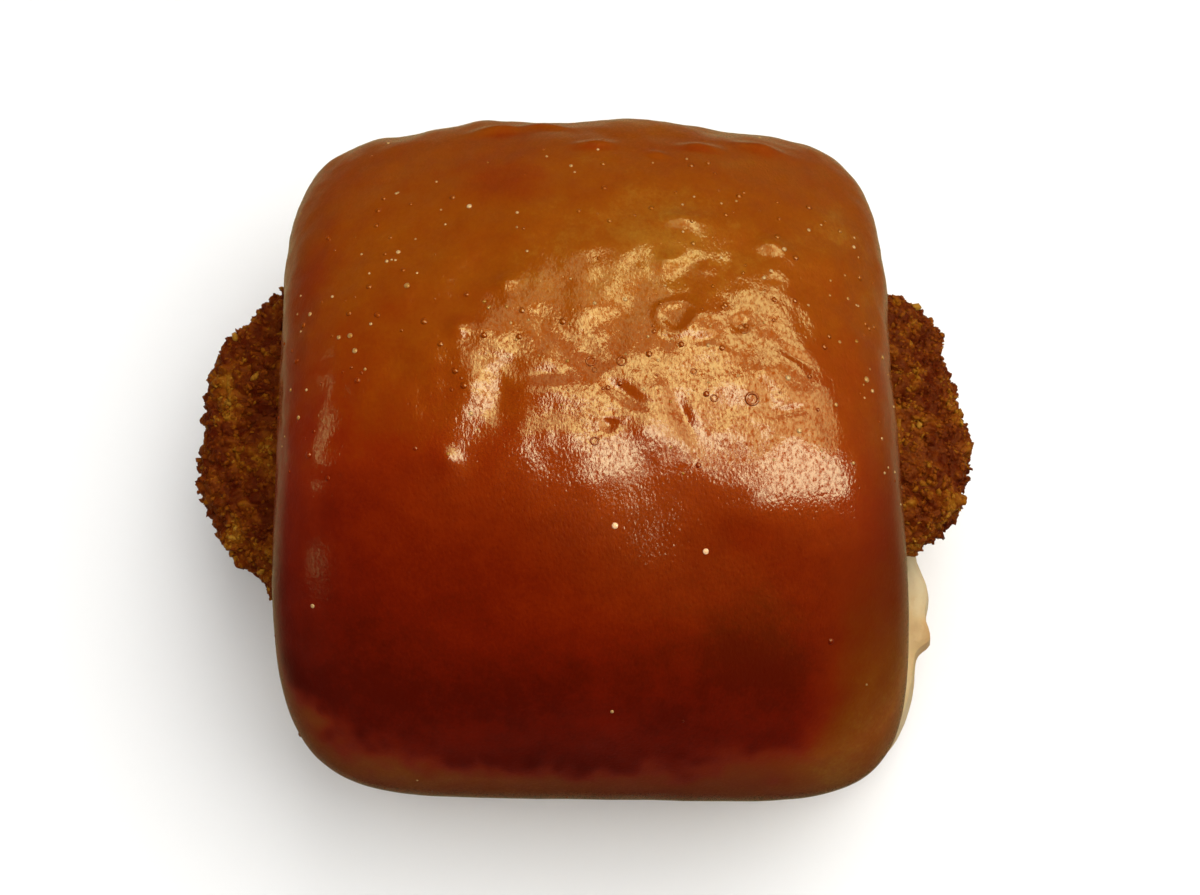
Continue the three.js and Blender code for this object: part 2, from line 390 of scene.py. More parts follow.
def patty_rise(x, y):
    dx = x - PATTY_SIDESET
    dy = y - PATTY_BACKSET
    along = dx * math.cos(PATTY_TURN) + dy * math.sin(PATTY_TURN)
    across = dy * math.cos(PATTY_TURN) - dx * math.sin(PATTY_TURN)
    u = np.abs(along) / (PATTY_LENGTH / 2 + CLEARANCE)
    v = np.abs(across) / (PATTY_DEPTH / 2 + CLEARANCE)
    reach = (u ** PATTY_OVAL + v ** PATTY_OVAL) ** (1 / PATTY_OVAL)
    held = np.minimum(reach, VAULT_TANGENT)
    rise = (1 - held ** PATTY_EDGE) ** (1 / PATTY_EDGE)
    slope = -(held ** (PATTY_EDGE - 1)) * (1 - held ** PATTY_EDGE) ** (1 / PATTY_EDGE - 1)
    return (PATTY_THICKNESS / 2 + CLEARANCE) * (rise + slope * (reach - held))


def soft_larger(first, second):
    """The larger of two, with the kink between them rounded off."""
    return (first + second + np.hypot(first - second, CUT_BLEND)) / 2


def vault_height(x, y):
    return soft_larger(TOP_CUT_LEVEL, PATTY_MIDDLE + patty_rise(x, y))


def bed_height(x, y):
    return -soft_larger(-BOTTOM_CUT_LEVEL, patty_rise(x, y) - PATTY_MIDDLE)


# The two halves of the roll, ring by ring.

def points(x, y, z):
    return np.stack(np.broadcast_arrays(x, y, z), axis=-1)


def top_outline(angle):
    radius = square_radius(angle, BUN_WIDTH, BUN_DEPTH)
    x = radius * np.cos(angle) * (1 - FRONT_SPREAD * np.sin(angle))
    y = radius * np.sin(angle)
    drawn_in = 1 - PINCH * (vault_height(x, y) - TOP_CUT_LEVEL) / radius
    return (x - SKEW[0] * y) * drawn_in, (y - SKEW[1] * x) * drawn_in


def top_cut_edge(angle):
    x, y = top_outline(angle)
    inset = 1 - RIM_CURL / np.hypot(x, y)
    return x * inset, y * inset


def dome(angle, share):
    shoulder = mix(FRONT_SHOULDER, SIDE_SHOULDER, np.cos(angle) ** 4)
    reach = np.sin(share * math.pi / 2)
    rise = (1 - reach ** shoulder) ** (1 / CROWN_FLATNESS)
    edge_x, edge_y = top_outline(angle)
    x = reach * mix(CROWN_RADIUS * np.cos(angle), edge_x, reach ** CROWN_SPAN)
    y = reach * mix(CROWN_RADIUS * np.sin(angle), edge_y, reach ** CROWN_SPAN)
    widest = vault_height(*top_cut_edge(angle)) + RIM_HEIGHT
    return points(x, y, widest + (BUN_HEIGHT - widest + swell(x, y)) * rise)


def rim(angle, share):
    down = share * math.pi / 2
    x, y = top_outline(angle)
    inset = 1 - RIM_CURL * (1 - math.cos(down)) / np.hypot(x, y)
    height = vault_height(*top_cut_edge(angle)) + RIM_HEIGHT * (1 - math.sin(down))
    return points(x * inset, y * inset, height)


def vault(angle, share):
    x, y = (size * (1 - share) for size in top_cut_edge(angle))
    return points(x, y, vault_height(x, y))


def base_outline(angle, inset, down=1):
    radius = square_radius(angle, BASE_WIDTH, BASE_DEPTH) - inset
    for centre, spread, height, left in BASE_BUMPS:
        away = np.arctan2(np.sin(angle - centre), np.cos(angle - centre))
        radius = radius + height * mix(1, left, down) * np.exp(-((away / spread) ** 2))
    return radius * np.cos(angle) + BASE_SIDESET, radius * np.sin(angle) + BASE_BACKSET


def bed(angle, share):
    x, y = base_outline(angle, BASE_BELLY, 0)
    x = mix(BASE_SIDESET, x, share)
    y = mix(BASE_BACKSET, y, share)
    return points(x, y, bed_height(x, y))


def base_side(angle, share):
    inset = BASE_BELLY * (1 - math.sin(share * math.pi / 2))
    x, y = base_outline(angle, inset, smooth_step(0.3, 1, share))
    edge = bed_height(*base_outline(angle, BASE_BELLY, 0))
    return points(x, y, mix(edge, BASE_FOOT, share))


def base_foot(angle, share):
    turn = share * math.pi / 2
    x, y = base_outline(angle, BASE_FOOT * (1 - math.cos(turn)))
    return points(x, y, BASE_FOOT * (1 - math.sin(turn)))


def base_floor(angle, share):
    x, y = base_outline(angle, BASE_FOOT)
    return points(mix(x, BASE_SIDESET, share), mix(y, BASE_BACKSET, share), 0)


# Meshes out of rings.

def square_sheet(cells):
    """Grid over a square: its points, its cells, and its border from angle 0 round."""
    line = np.linspace(-1, 1, cells + 1)
    u, v = np.meshgrid(line, line)
    index = np.arange((cells + 1) ** 2).reshape(cells + 1, cells + 1)
    quads = np.stack([index[:-1, :-1], index[:-1, 1:], index[1:, 1:], index[1:, :-1]], axis=-1)
    half = cells // 2
    right = index[half:, -1]
    back = index[-1, -2::-1]
    left = index[-2::-1, 0]
    front = index[0, 1:]
    rest = index[1:half, -1]
    border = np.concatenate([right, back, left, front, rest])
    return u.ravel(), v.ravel(), quads.reshape(-1, 4), border


def ring_quads(above, below):
    """Cells between two closed rings of vertex numbers, facing out."""
    return np.stack([above, below, np.roll(below, -1), np.roll(above, -1)], axis=-1)


def end_fan(ring, centre):
    """Triangles that close a ring from below."""
    return [(int(a), centre, int(b)) for a, b in zip(ring, np.roll(ring, -1))]


def mesh_object(name, vertices, faces, smooth=True):
    mesh = bpy.data.meshes.new(name)
    mesh.from_pydata(vertices.tolist(), [], faces)
    mesh.update()
    mesh.polygons.foreach_set("use_smooth", [smooth] * len(mesh.polygons))
    piece = bpy.data.objects.new(name, mesh)
    bpy.context.scene.collection.objects.link(piece)
    return piece


def frame_shift(vertices, node):
    """From the drawing to the frame, in metres, by the box of a node drawn with the vertices."""
    low, high = (np.array(corner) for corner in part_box(node))
    shift = (low + high) / 2 - (vertices.min(axis=0) + vertices.max(axis=0)) / 2 * MM
    shift[2] = low[2] - vertices[:, 2].min() * MM
    return shift


def build_top():
    """The glazed half: a square grid over the dome, then rings round the rim and the cut."""
    u, v, quads, border = square_sheet(CROWN_CELLS)
    share = np.maximum(np.abs(u), np.abs(v))
    crown = dome(np.arctan2(v, u), share)
    angles = np.arctan2(v[border], u[border])
    rings = [rim(angles, step / RIM_RINGS) for step in range(1, RIM_RINGS + 1)]
    rings += [vault(angles, step / CUT_RINGS) for step in range(1, CUT_RINGS)]
    vertices = np.concatenate([crown, *rings, vault(np.zeros(1), 1)])
    faces = quads.tolist()
    above = border
    for number in range(len(rings)):
        below = len(crown) + number * len(border) + np.arange(len(border))
        faces += ring_quads(above, below).tolist()
        above = below
    faces += end_fan(above, len(vertices) - 1)
    cut_from = len(quads) + RIM_RINGS * len(border)
    return vertices, faces, cut_from


def build_base():
    """The pale half: rings from the middle of its bed out, down the side and in again."""
    angles = np.arange(BASE_SIDES) * TURN / BASE_SIDES
    rings = []
    for kind, place in (("cut", bed), ("side", base_side), ("foot", base_foot), ("base", base_floor)):
        steps = BASE_RINGS[kind]
        first = 1 if kind == "cut" else 0
        rings += [place(angles, step / steps) for step in range(first, steps)]
    vertices = np.concatenate([bed(np.zeros(1), 0), *rings, base_floor(np.zeros(1), 1)])
    numbers = 1 + np.arange(len(rings) * BASE_SIDES).reshape(len(rings), BASE_SIDES)
    faces = [(0, int(a), int(b)) for a, b in zip(numbers[0], np.roll(numbers[0], -1))]
    for above, below in zip(numbers, numbers[1:]):
        faces += ring_quads(above, below).tolist()
    faces += end_fan(numbers[-1], len(vertices) - 1)
    cut_to = BASE_SIDES * BASE_RINGS["cut"]
    return vertices, faces, cut_to


def noise_over(places, length, seed):
    """Smooth noise from about -0.5 to 0.5 at places in mm, with lumps of about this length."""
    shifted = places / length + seed * 7.31
    return np.array([noise.noise(place) for place in shifted.tolist()])


def hill(x, y, feature):
    """Gaussian hill or dent: its place, half length, half width, heading in degrees, height."""
    place_x, place_y, length, width, heading, height = feature
    turn = math.radians(heading)
    along = (x - place_x) * math.cos(turn) + (y - place_y) * math.sin(turn)
    across = (y - place_y) * math.cos(turn) - (x - place_x) * math.sin(turn)
    return height * np.exp(-((along / length) ** 2) - (across / width) ** 2)


def collapsed_blister(x, y, blister):
    """A raised ring round a hollow: its place, radius, height of the ring, depth inside."""
    place_x, place_y, radius, height, depth = blister
    angle = np.arctan2(y - place_y, x - place_x)
    wavy = 1 + 0.09 * np.sin(2 * angle + 1) + 0.07 * np.sin(3 * angle)
    away = np.hypot(x - place_x, y - place_y) / (radius * wavy)
    ring = height * np.exp(-(((away - 1) / COLLAPSED_RING) ** 2))
    return ring - depth * np.exp(-((away / COLLAPSED_HOLLOW) ** 2))


def crust_relief(places):
    """How far the glazed crust stands out of its smooth form, in mm."""
    x, y = places.T[:2]
    uneven = 0
    for number, (length, height) in enumerate(CRUST_LUMPS):
        uneven = uneven + height * noise_over(places, length, 1 + number)
    relief = mix(*CRUST_LIVELINESS, smooth_step(-14, 4, y)) * uneven
    for feature in HILLS:
        relief = relief + hill(x, y, feature)
    for blister in COLLAPSED:
        relief = relief + collapsed_blister(x, y, blister)
    return relief


def vertex_normals(vertices, faces):
    """Unit normals of a mesh that is built only to be measured."""
    mesh = bpy.data.meshes.new("measured")
    mesh.from_pydata(vertices.tolist(), [], faces)
    mesh.update()
    normals = np.empty(len(vertices) * 3)
    mesh.vertex_normals.foreach_get("vector", normals)
    bpy.data.meshes.remove(mesh)
    return normals.reshape(-1, 3)


def add_values(piece, name, values):
    attribute = piece.data.attributes.new(name, "FLOAT", "POINT")
    attribute.data.foreach_set("value", np.asarray(values, dtype=np.float32))


# Materials.

def new_material(name):
    material = bpy.data.materials.new(name)
    material.use_nodes = True
    nodes = material.node_tree.nodes
    return material, nodes, material.node_tree.links, nodes["Principled BSDF"]


def noise_node(nodes, links, coordinates, scale, detail=3, roughness=0.55):
    node = nodes.new("ShaderNodeTexNoise")
    node.inputs["Scale"].default_value = scale
    node.inputs["Detail"].default_value = detail
    node.inputs["Roughness"].default_value = roughness
    links.new(coordinates, node.inputs["Vector"])
    return node.outputs["Fac"]


def math_node(nodes, links, operation, first, second, third=None, clamp=False):
    node = nodes.new("ShaderNodeMath")
    node.operation = operation
    node.use_clamp = clamp
    for socket, value in zip(node.inputs, (first, second, third)):
        if isinstance(value, (int, float)):
            socket.default_value = value
        elif value is not None:
            links.new(value, socket)
    return node.outputs[0]


def ramp_node(nodes, links, factor, stops):
    node = nodes.new("ShaderNodeValToRGB")
    ramp = node.color_ramp
    for element, (position, color) in zip(ramp.elements, (stops[0], stops[-1])):
        element.position = position
        element.color = (*color, 1)
    for position, color in stops[1:-1]:
        ramp.elements.new(position).color = (*color, 1)
    links.new(factor, node.inputs["Fac"])
    return node.outputs["Color"]


def attribute_node(nodes, name):
    node = nodes.new("ShaderNodeAttribute")
    node.attribute_name = name
    return node.outputs["Fac"]


def object_coordinates(nodes, links, stretch=(1, 1, 1), turn=0):
    source = nodes.new("ShaderNodeTexCoord").outputs["Object"]
    mapping = nodes.new("ShaderNodeMapping")
    mapping.inputs["Scale"].default_value = stretch
    mapping.inputs["Rotation"].default_value = (0, 0, turn)
    links.new(source, mapping.inputs["Vector"])
    return mapping.outputs["Vector"]


def bump_node(nodes, links, height, distance, strength=1):
    node = nodes.new("ShaderNodeBump")
    node.inputs["Strength"].default_value = strength
    node.inputs["Distance"].default_value = distance
    links.new(height, node.inputs["Height"])
    return node.outputs["Normal"]


def mottled(nodes, links, value, layers):
    """A browning with its layers of noise laid over it, and the last layer's own noise."""
    even = object_coordinates(nodes, links)
    for scale, detail, roughness, share in layers:
        cloud = noise_node(nodes, links, even, scale, detail, roughness)
        value = math_node(nodes, links, "MULTIPLY_ADD", cloud, share, value)
    middle = sum(layer[-1] for layer in layers) / 2
    return math_node(nodes, links, "SUBTRACT", value, middle), cloud


def glaze_grain(nodes, links, streaks, lively):
    """Height of the glaze's fine streaky grain, with small pits, most where it is lively."""
    grain = noise_node(nodes, links, streaks, GRAIN_SCALE, 2, 0.6)
    pits = nodes.new("ShaderNodeTexVoronoi")
    pits.inputs["Scale"].default_value = PIT_SCALE
    links.new(streaks, pits.inputs["Vector"])
    hollow = nodes.new("ShaderNodeMapRange")
    hollow.interpolation_type = "SMOOTHSTEP"
    hollow.inputs["From Min"].default_value = PIT_EDGE[0]
    hollow.inputs["From Max"].default_value = PIT_EDGE[1]
    links.new(pits.outputs["Distance"], hollow.inputs["Value"])
    drawn = nodes.new("ShaderNodeSeparateXYZ")
    links.new(pits.outputs["Color"], drawn.inputs["Vector"])
    bar = math_node(nodes, links, "MULTIPLY_ADD", lively, 1.6, -0.35)
    flat = math_node(nodes, links, "GREATER_THAN", drawn.outputs["X"], bar)
    pitted = math_node(nodes, links, "MAXIMUM", hollow.outputs["Result"], flat)
    return math_node(nodes, links, "MULTIPLY_ADD", pitted, PIT_DEPTH, grain)


def egg_wash(nodes, links, streaks, lively):
    """Weight of the clear coat, broken up in fine streaks where the glaze is lively."""
    uneven = math_node(nodes, links, "MULTIPLY_ADD", lively, 8, -2, clamp=True)
    thin = noise_node(nodes, links, streaks, WASH_SCALE, 4, 0.8)
    thin = math_node(nodes, links, "MULTIPLY_ADD", thin, 5.5, -2.75)
    return math_node(nodes, links, "MULTIPLY_ADD", thin, uneven, WASH_WEIGHT, clamp=True)


def glazed_material():
    """Baked crust under a clear egg wash, browned by its bake value and darkened by painted shade."""
    material, nodes, links, shader = new_material("glazed_crust")
    bake, _ = mottled(nodes, links, attribute_node(nodes, "bake"), GLAZE_MOTTLING)
    browned = nodes.new("ShaderNodeVectorMath")
    browned.operation = "SCALE"
    links.new(ramp_node(nodes, links, bake, CRUST_BROWNING), browned.inputs[0])
    # Painted shade: the base colour is darkened by the painted_shade value.
    light = math_node(nodes, links, "MULTIPLY_ADD", attribute_node(nodes, "painted_shade"), -SHADE_DARKENING, 1)
    links.new(light, browned.inputs["Scale"])
    links.new(browned.outputs["Vector"], shader.inputs["Base Color"])
    streaks = object_coordinates(nodes, links, GRAIN_STRETCH, GRAIN_TURN)
    lively = noise_node(nodes, links, object_coordinates(nodes, links), LIVELY_SCALE, 1)
    normal = bump_node(nodes, links, glaze_grain(nodes, links, streaks, lively), GRAIN_DEPTH)
    links.new(normal, shader.inputs["Normal"])
    rough = math_node(nodes, links, "MULTIPLY_ADD", attribute_node(nodes, "matt"), 0.2, 0.42)
    links.new(rough, shader.inputs["Roughness"])
    shader.inputs["IOR"].default_value = 1.45
    shader.inputs["Specular Tint"].default_value = (1, 0.27, 0.02, 1)
    links.new(egg_wash(nodes, links, streaks, lively), shader.inputs["Coat Weight"])
    links.new(normal, shader.inputs["Coat Normal"])
    shader.inputs["Coat Roughness"].default_value = WASH_ROUGHNESS
    shader.inputs["Coat IOR"].default_value = WASH_IOR
    return material


def crumb_material():
    """The soft cut face of the roll: cream, with small pores."""
    material, nodes, links, shader = new_material("bread_crumb")
    even = object_coordinates(nodes, links)
    pores = noise_node(nodes, links, even, 900, 4, 0.7)
    tone = noise_node(nodes, links, even, 120, 2)
    mixed = math_node(nodes, links, "MULTIPLY_ADD", pores, 0.6, tone)
    stops = ((0.45, (0.42, 0.29, 0.14)), (0.7, (0.66, 0.52, 0.31)), (0.95, (0.76, 0.65, 0.45)))
    links.new(ramp_node(nodes, links, mixed, stops), shader.inputs["Base Color"])
    links.new(bump_node(nodes, links, pores, 0.0004), shader.inputs["Normal"])
    shader.inputs["Roughness"].default_value = 0.85
    shader.inputs["Subsurface Weight"].default_value = 0.15
    shader.inputs["Subsurface Scale"].default_value = 0.002
    return material


def pale_material():
    """The unglazed side and base of the roll, cream to golden brown by its bake value."""
    material, nodes, links, shader = new_material("pale_crust")
    bake, mottle = mottled(nodes, links, attribute_node(nodes, "bake"), PALE_MOTTLING)
    links.new(ramp_node(nodes, links, bake, PALE_BROWNING), shader.inputs["Base Color"])
    links.new(bump_node(nodes, links, mottle, 0.0002), shader.inputs["Normal"])
    shader.inputs["Roughness"].default_value = 0.6
    shader.inputs["Subsurface Weight"].default_value = 0.1
    shader.inputs["Subsurface Scale"].default_value = 0.002
    return material


def breading_material():
    """Fried breadcrumbs, dark red brown to golden by their tone value, which on the breading holds
    painted shade in the gaps and painted light on the crumbs that stand out.
    """
    material, nodes, links, shader = new_material("fried_breading")
    tone, speckle = mottled(nodes, links, attribute_node(nodes, "tone"), FRIED_MOTTLING)
    links.new(ramp_node(nodes, links, tone, FRIED_BROWNING), shader.inputs["Base Color"])
    links.new(bump_node(nodes, links, speckle, 0.0002), shader.inputs["Normal"])
    shader.inputs["Roughness"].default_value = 0.4
    shader.inputs["Specular IOR Level"].default_value = 0.16
    shader.inputs["Specular Tint"].default_value = (1, 0.5, 0.25, 1)
    return material


# The glazed half.

def crust_bake(places):
    """Browning of the glazed crust, how matt it is low down, and the painted shade at the right front
    corner and low in front.
    """
    x, y, z = places.T
    bake = mix(BACK_BAKE, FRONT_BAKE, smooth_step(26, -40, y))
    bake = bake + SIDE_BAKE * smooth_step(-20, -38, x)
    bake = bake - SIDE_BAKE * smooth_step(27, 38, x) * smooth_step(24, 12, y)
    for feature in BROWNING_SHADE_AND_SHEEN:
        bake = bake + hill(x, y, feature)
    ragged = 0
    for number, (length, height) in enumerate(RAGGED_WAVES):
        ragged = ragged + height * noise_over(places, length, 5 + number)
    corner = smooth_step(25, 35, x) * smooth_step(12, -22, y)
    bake = mix(bake, CORNER_BAKE, corner * smooth_step(54, 44, z))
    bake = mix(bake, CORNER_FOOT_BAKE, corner * smooth_step(45, 37, z + 0.3 * ragged))
    low = smooth_step(*LOW_CRUST, z + ragged)
    front = smooth_step(10, -20, y)
    low_bake = LOW_BAKE + LOW_MIDDLE_BAKE * np.exp(-(((x - 10) / 14) ** 2))
    bake = mix(bake, low_bake, 0.85 * low)
    pale = smooth_step(*HEM, z + 0.6 * ragged)
    # Painted shade: the right front corner and the lower front are darkened in the base colour.
    shaded = corner * smooth_step(57, 47, z) * smooth_step(33, 41, z)
    painted_shade = np.maximum(shaded, 0.7 * low * front)
    return mix(bake, HEM_BAKE, pale), low, painted_shade


def build_glazed_top(vertices, faces, cut_from, shift):
    normals = vertex_normals(vertices, faces)
    crown_end = (CROWN_CELLS + 1) ** 2
    fade = np.zeros(len(vertices))
    fade[:crown_end] = 1
    rings = 4 * CROWN_CELLS
    for ring in range(RIM_RINGS):
        first = crown_end + ring * rings
        fade[first:first + rings] = 1 - (ring + 1) / RIM_RINGS
    relief = crust_relief(vertices) * fade
    bake, low, painted_shade = crust_bake(vertices)
    placed = (vertices + normals * relief[:, None]) * MM + shift
    piece = mesh_object("glazed_top", placed, faces)
    piece.data.materials.append(glazed_material())
    piece.data.materials.append(crumb_material())
    is_cut = np.arange(len(faces)) >= cut_from
    piece.data.polygons.foreach_set("material_index", is_cut.astype(np.int32))
    add_values(piece, "bake", bake)
    add_values(piece, "matt", low)
    add_values(piece, "painted_shade", painted_shade)
    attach(piece, "root")
    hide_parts("bun_top")
    return piece


def build_pale_base(shift):
    vertices, faces, cut_to = build_base()
    normals = vertex_normals(vertices, faces)
    x, y, z = vertices.T
    relief = 0.3 * noise_over(vertices, 6, 11) + 0.1 * noise_over(vertices, 2, 12)
    relief = relief * smooth_step(0.2, 3, z)
    bake = PALE_BAKE + FOOT_BAKE * smooth_step(8, 1, z)
    angle = np.arctan2(y - BASE_BACKSET, x - BASE_SIDESET)
    outer = np.hypot(x - BASE_SIDESET, y - BASE_BACKSET) - BASE_WIDTH / 2
    for centre, spread, reach, golden in GOLDEN_TIPS:
        near = np.exp(-(((angle - centre) / spread) ** 2)) * smooth_step(-reach, 2, outer)
        bake = bake + golden * near * smooth_step(4, 8, z)
    placed = (vertices + normals * relief[:, None]) * MM + shift
    piece = mesh_object("pale_base", placed, faces)
    piece.data.materials.append(pale_material())
    piece.data.materials.append(crumb_material())
    is_cut = np.arange(len(faces)) < cut_to - PALE_EDGE_RINGS * BASE_SIDES
    piece.data.polygons.foreach_set("material_index", is_cut.astype(np.int32))
    add_values(piece, "bake", bake)
    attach(piece, "root")
    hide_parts("bun_bottom")
    return piece


def low_dome():
    """A small blister of unit radius, open below where the crust hides it."""
    rings = [(math.cos(turn), math.sin(turn)) for turn in BUBBLE_RINGS]
    angles = np.arange(BUBBLE_SIDES) * TURN / BUBBLE_SIDES
    places = [points(out * np.cos(angles), out * np.sin(angles), up) for out, up in rings]
    places = np.concatenate([*places, [[0, 0, 1]], [[0, 0, BUBBLE_ROOT]]])
    numbers = np.arange(len(rings) * BUBBLE_SIDES).reshape(len(rings), BUBBLE_SIDES)
    faces = []
    for below, above in zip(numbers, numbers[1:]):
        faces += ring_quads(above, below).tolist()
    faces += [(int(a), int(b), len(places) - 2) for a, b in zip(numbers[-1], np.roll(numbers[-1], -1))]
    faces += end_fan(numbers[0], len(places) - 1)
    return places, faces


def low_ring():
    """A burst bubble of unit radius: a thin raised ring."""
    around = np.arange(RING_SIDES) * TURN / RING_SIDES
    section = np.arange(RING_SECTION) * TURN / RING_SECTION
    out = 1 + RING_THICKNESS * np.cos(section)[:, None]
    up = np.broadcast_to(RING_THICKNESS * np.sin(section)[:, None], (RING_SECTION, RING_SIDES))
    places = points(out * np.cos(around), out * np.sin(around), up).reshape(-1, 3)
    numbers = np.arange(RING_SECTION * RING_SIDES).reshape(RING_SECTION, RING_SIDES)
    faces = []
    for below, above in zip(numbers, np.roll(numbers, -1, axis=0)):
        faces += ring_quads(above, below).tolist()
    return places, faces


def planted(shapes):
    """One mesh out of many small shapes: (places, faces, centre, normal, radius, height)."""
    vertices = []
    faces = []
    for places, shape_faces, centre, normal, radius, height in shapes:
        turn = np.array(Vector(normal).to_track_quat("Z", "Y").to_matrix())
        offset = sum(len(part) for part in vertices)
        vertices.append((places * (radius, radius, height)) @ turn.T + centre)
        faces += [tuple(number + offset for number in face) for face in shape_faces]
    return np.concatenate(vertices), faces


def build_bubbles(top):
    """Tiny glazed blisters over the back of the crown, a few burst ones, and the flecks."""
    rng = np.random.default_rng(BUBBLE_SEED)
    places, normals = read_mesh(top.data)
    crown = places[:(CROWN_CELLS + 1) ** 2] / MM
    heights = smooth_step(-12, 2, crown[:, 1]) * smooth_step(46, 52, crown[:, 2]) + 0.03
    chosen = rng.choice(len(crown), size=BUBBLE_COUNT, p=heights / heights.sum())
    radii = mix(BUBBLE_SIZES[0], BUBBLE_SIZES[1], rng.random(BUBBLE_COUNT) ** 2)

    def shape_at(number, form, radius, rise):
        return (*form, places[number], normals[number], radius * MM, rise * radius * MM)

    def nearest(x, y):
        return np.argmin(np.hypot(crown[:, 0] - x, crown[:, 1] - y))

    bubble = low_dome()
    ring = low_ring()
    shapes = [shape_at(number, bubble, radius, BUBBLE_RISE) for number, radius in zip(chosen, radii)]
    shapes += [shape_at(nearest(x, y), ring, radius, 1) for x, y, radius in BURST_BUBBLES]
    bubbles_end = sum(len(shape[0]) for shape in shapes)
    shapes += [shape_at(nearest(x, y), bubble, radius, FLECK_RISE) for x, y, radius in FLECKS]
    vertices, faces = planted(shapes)
    piece = mesh_object("glaze_bubbles", vertices, faces)
    piece.data.materials.append(top.data.materials[0])
    bake, _, painted_shade = crust_bake(vertices / MM)
    bake[bubbles_end:] = FLECK_BAKE
    # Painted glints: some smaller blisters are baked pale golden.
    golden = radii < PAINTED_GLINT_SIZE * rng.random(BUBBLE_COUNT)
    corners = len(bubble[0])
    bake[:BUBBLE_COUNT * corners][np.repeat(golden, corners)] = PAINTED_GLINT_BAKE
    add_values(piece, "bake", bake)
    add_values(piece, "matt", np.zeros(len(vertices)))
    add_values(piece, "painted_shade", painted_shade)
    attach(piece, "root")


# The croquette.

def box_sides():
    """The six sides of a finely divided box from -1 to 1, as grids of points facing out."""
    lines = [np.linspace(-1, 1, cells + 1) for cells in PATTY_CELLS]
    for axis in range(3):
        across = (axis + 1) % 3
        up = (axis + 2) % 3
        for side in (-1, 1):
            first, second = np.meshgrid(lines[across], lines[up], indexing="ij")
            grid = np.empty((*first.shape, 3))
            grid[..., axis] = side
            grid[..., across] = first
            grid[..., up] = second
            yield grid if side > 0 else grid[::-1]


def patty_form(box):
    """Points of the box pushed out to the oval patty, in mm of the drawing."""
    x = box[:, 0]
    y = np.tan(box[:, 1] * math.pi / 4)
    z = np.tan(box[:, 2] * math.pi / 4)
    plan = (np.abs(x) ** PATTY_OVAL + np.abs(y) ** PATTY_OVAL) ** (1 / PATTY_OVAL)
    out = (plan ** PATTY_EDGE + np.abs(z) ** PATTY_EDGE) ** (-1 / PATTY_EDGE)
    along = out * x * PATTY_LENGTH / 2
    across = out * y * PATTY_DEPTH / 2
    return points(
        along * math.cos(PATTY_TURN) - across * math.sin(PATTY_TURN) + PATTY_SIDESET,
        along * math.sin(PATTY_TURN) + across * math.cos(PATTY_TURN) + PATTY_BACKSET,
        out * z * PATTY_THICKNESS / 2 + PATTY_MIDDLE,
    )


def build_patty():
    """The smooth croquette as one closed mesh of cells."""
    vertices = []
    faces = []
    start = 0
    for grid in box_sides():
        index = start + np.arange(grid[..., 0].size).reshape(grid.shape[:2])
        cells = [index[:-1, :-1], index[1:, :-1], index[1:, 1:], index[:-1, 1:]]
        faces.append(np.stack(cells, axis=-1).reshape(-1, 4))
        vertices.append(grid.reshape(-1, 3))
        start += grid[..., 0].size
    box, kept = np.unique(np.concatenate(vertices).round(9), axis=0, return_inverse=True)
    return patty_form(box), kept.ravel()[np.concatenate(faces)]


def pebbles(places, size, seed):
    """Lumps packed side by side: their height from 0 in the gaps to 1, and a draw for each."""
    shifted = places / size + seed * 5.17
    height = np.empty(len(places))
    draw = np.empty(len(places))
    for number, place in enumerate(shifted.tolist()):
        distances, centres = noise.voronoi(place)
        height[number] = distances[1] - distances[0]
        draw[number] = noise.cell(centres[0])
    return np.clip(height * 2, 0, 1) ** 0.7, draw


def read_mesh(mesh):
    places = np.empty(len(mesh.vertices) * 3)
    mesh.vertices.foreach_get("co", places)
    normals = np.empty(len(mesh.vertices) * 3)
    mesh.vertex_normals.foreach_get("vector", normals)
    return places.reshape(-1, 3), normals.reshape(-1, 3)


def breading_tone(places):
    """Browning of the breading, from 0 dark to 1 golden: drifts and golden areas."""
    tone = 0.42 + 0.35 * noise_over(places, 4.5, 31) + 0.3 * noise_over(places, 1.6, 32)
    for x, y, radius in GOLDEN_SPOTS:
        away = np.hypot(places[:, 0] - x, places[:, 1] - y) / radius
        tone = tone + 0.2 * np.exp(-(away ** 2))
    return tone


def build_breading(shift, material):
    vertices, faces = build_patty()
    normals = vertex_normals(vertices, faces.tolist())
    warp = [0.5 * noise_over(vertices, 1.3, seed) for seed in (41, 42, 43)]
    bent = vertices + np.stack(warp, axis=-1)
    coarse, coarse_draw = pebbles(bent, COARSE_SIZE, 1)
    fine, fine_draw = pebbles(bent, FINE_SIZE, 2)
    relief = COARSE_RELIEF * coarse + FINE_RELIEF * fine * coarse - BREADING_SINK
    for number, (length, height) in enumerate(BREADING_LUMPS):
        relief = relief + height * noise_over(vertices, length, 21 + number)
    plan = vertices[:, :2] + shift[:2] / MM
    for x, y, radius, height in BREADING_HILLS:
        away = np.hypot(plan[:, 0] - x, plan[:, 1] - y) / radius
        relief = relief + height * np.exp(-(away ** 2))
    placed = (vertices + normals * relief[:, None]) * MM + shift
    piece = mesh_object("breading", placed, faces.tolist())
    piece.data.materials.append(material)
    tone = breading_tone(placed / MM) + 0.14 * (coarse_draw + fine_draw - 1)
    # Painted shade in the gaps between crumbs and painted light on the crumbs that stand out.
    add_values(piece, "tone", tone + 0.22 * (coarse * fine - 0.6))
    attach(piece, "root")
    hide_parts("croquette")
    return piece


def crumb_shape():
    """The corners and the faces of an icosahedron of unit radius."""
    grain = bmesh.new()
    bmesh.ops.create_icosphere(grain, subdivisions=1, radius=1)
    places = np.array([vertex.co[:] for vertex in grain.verts])
    faces = np.array([[vertex.index for vertex in face.verts] for face in grain.faces])
    grain.free()
    return places, faces


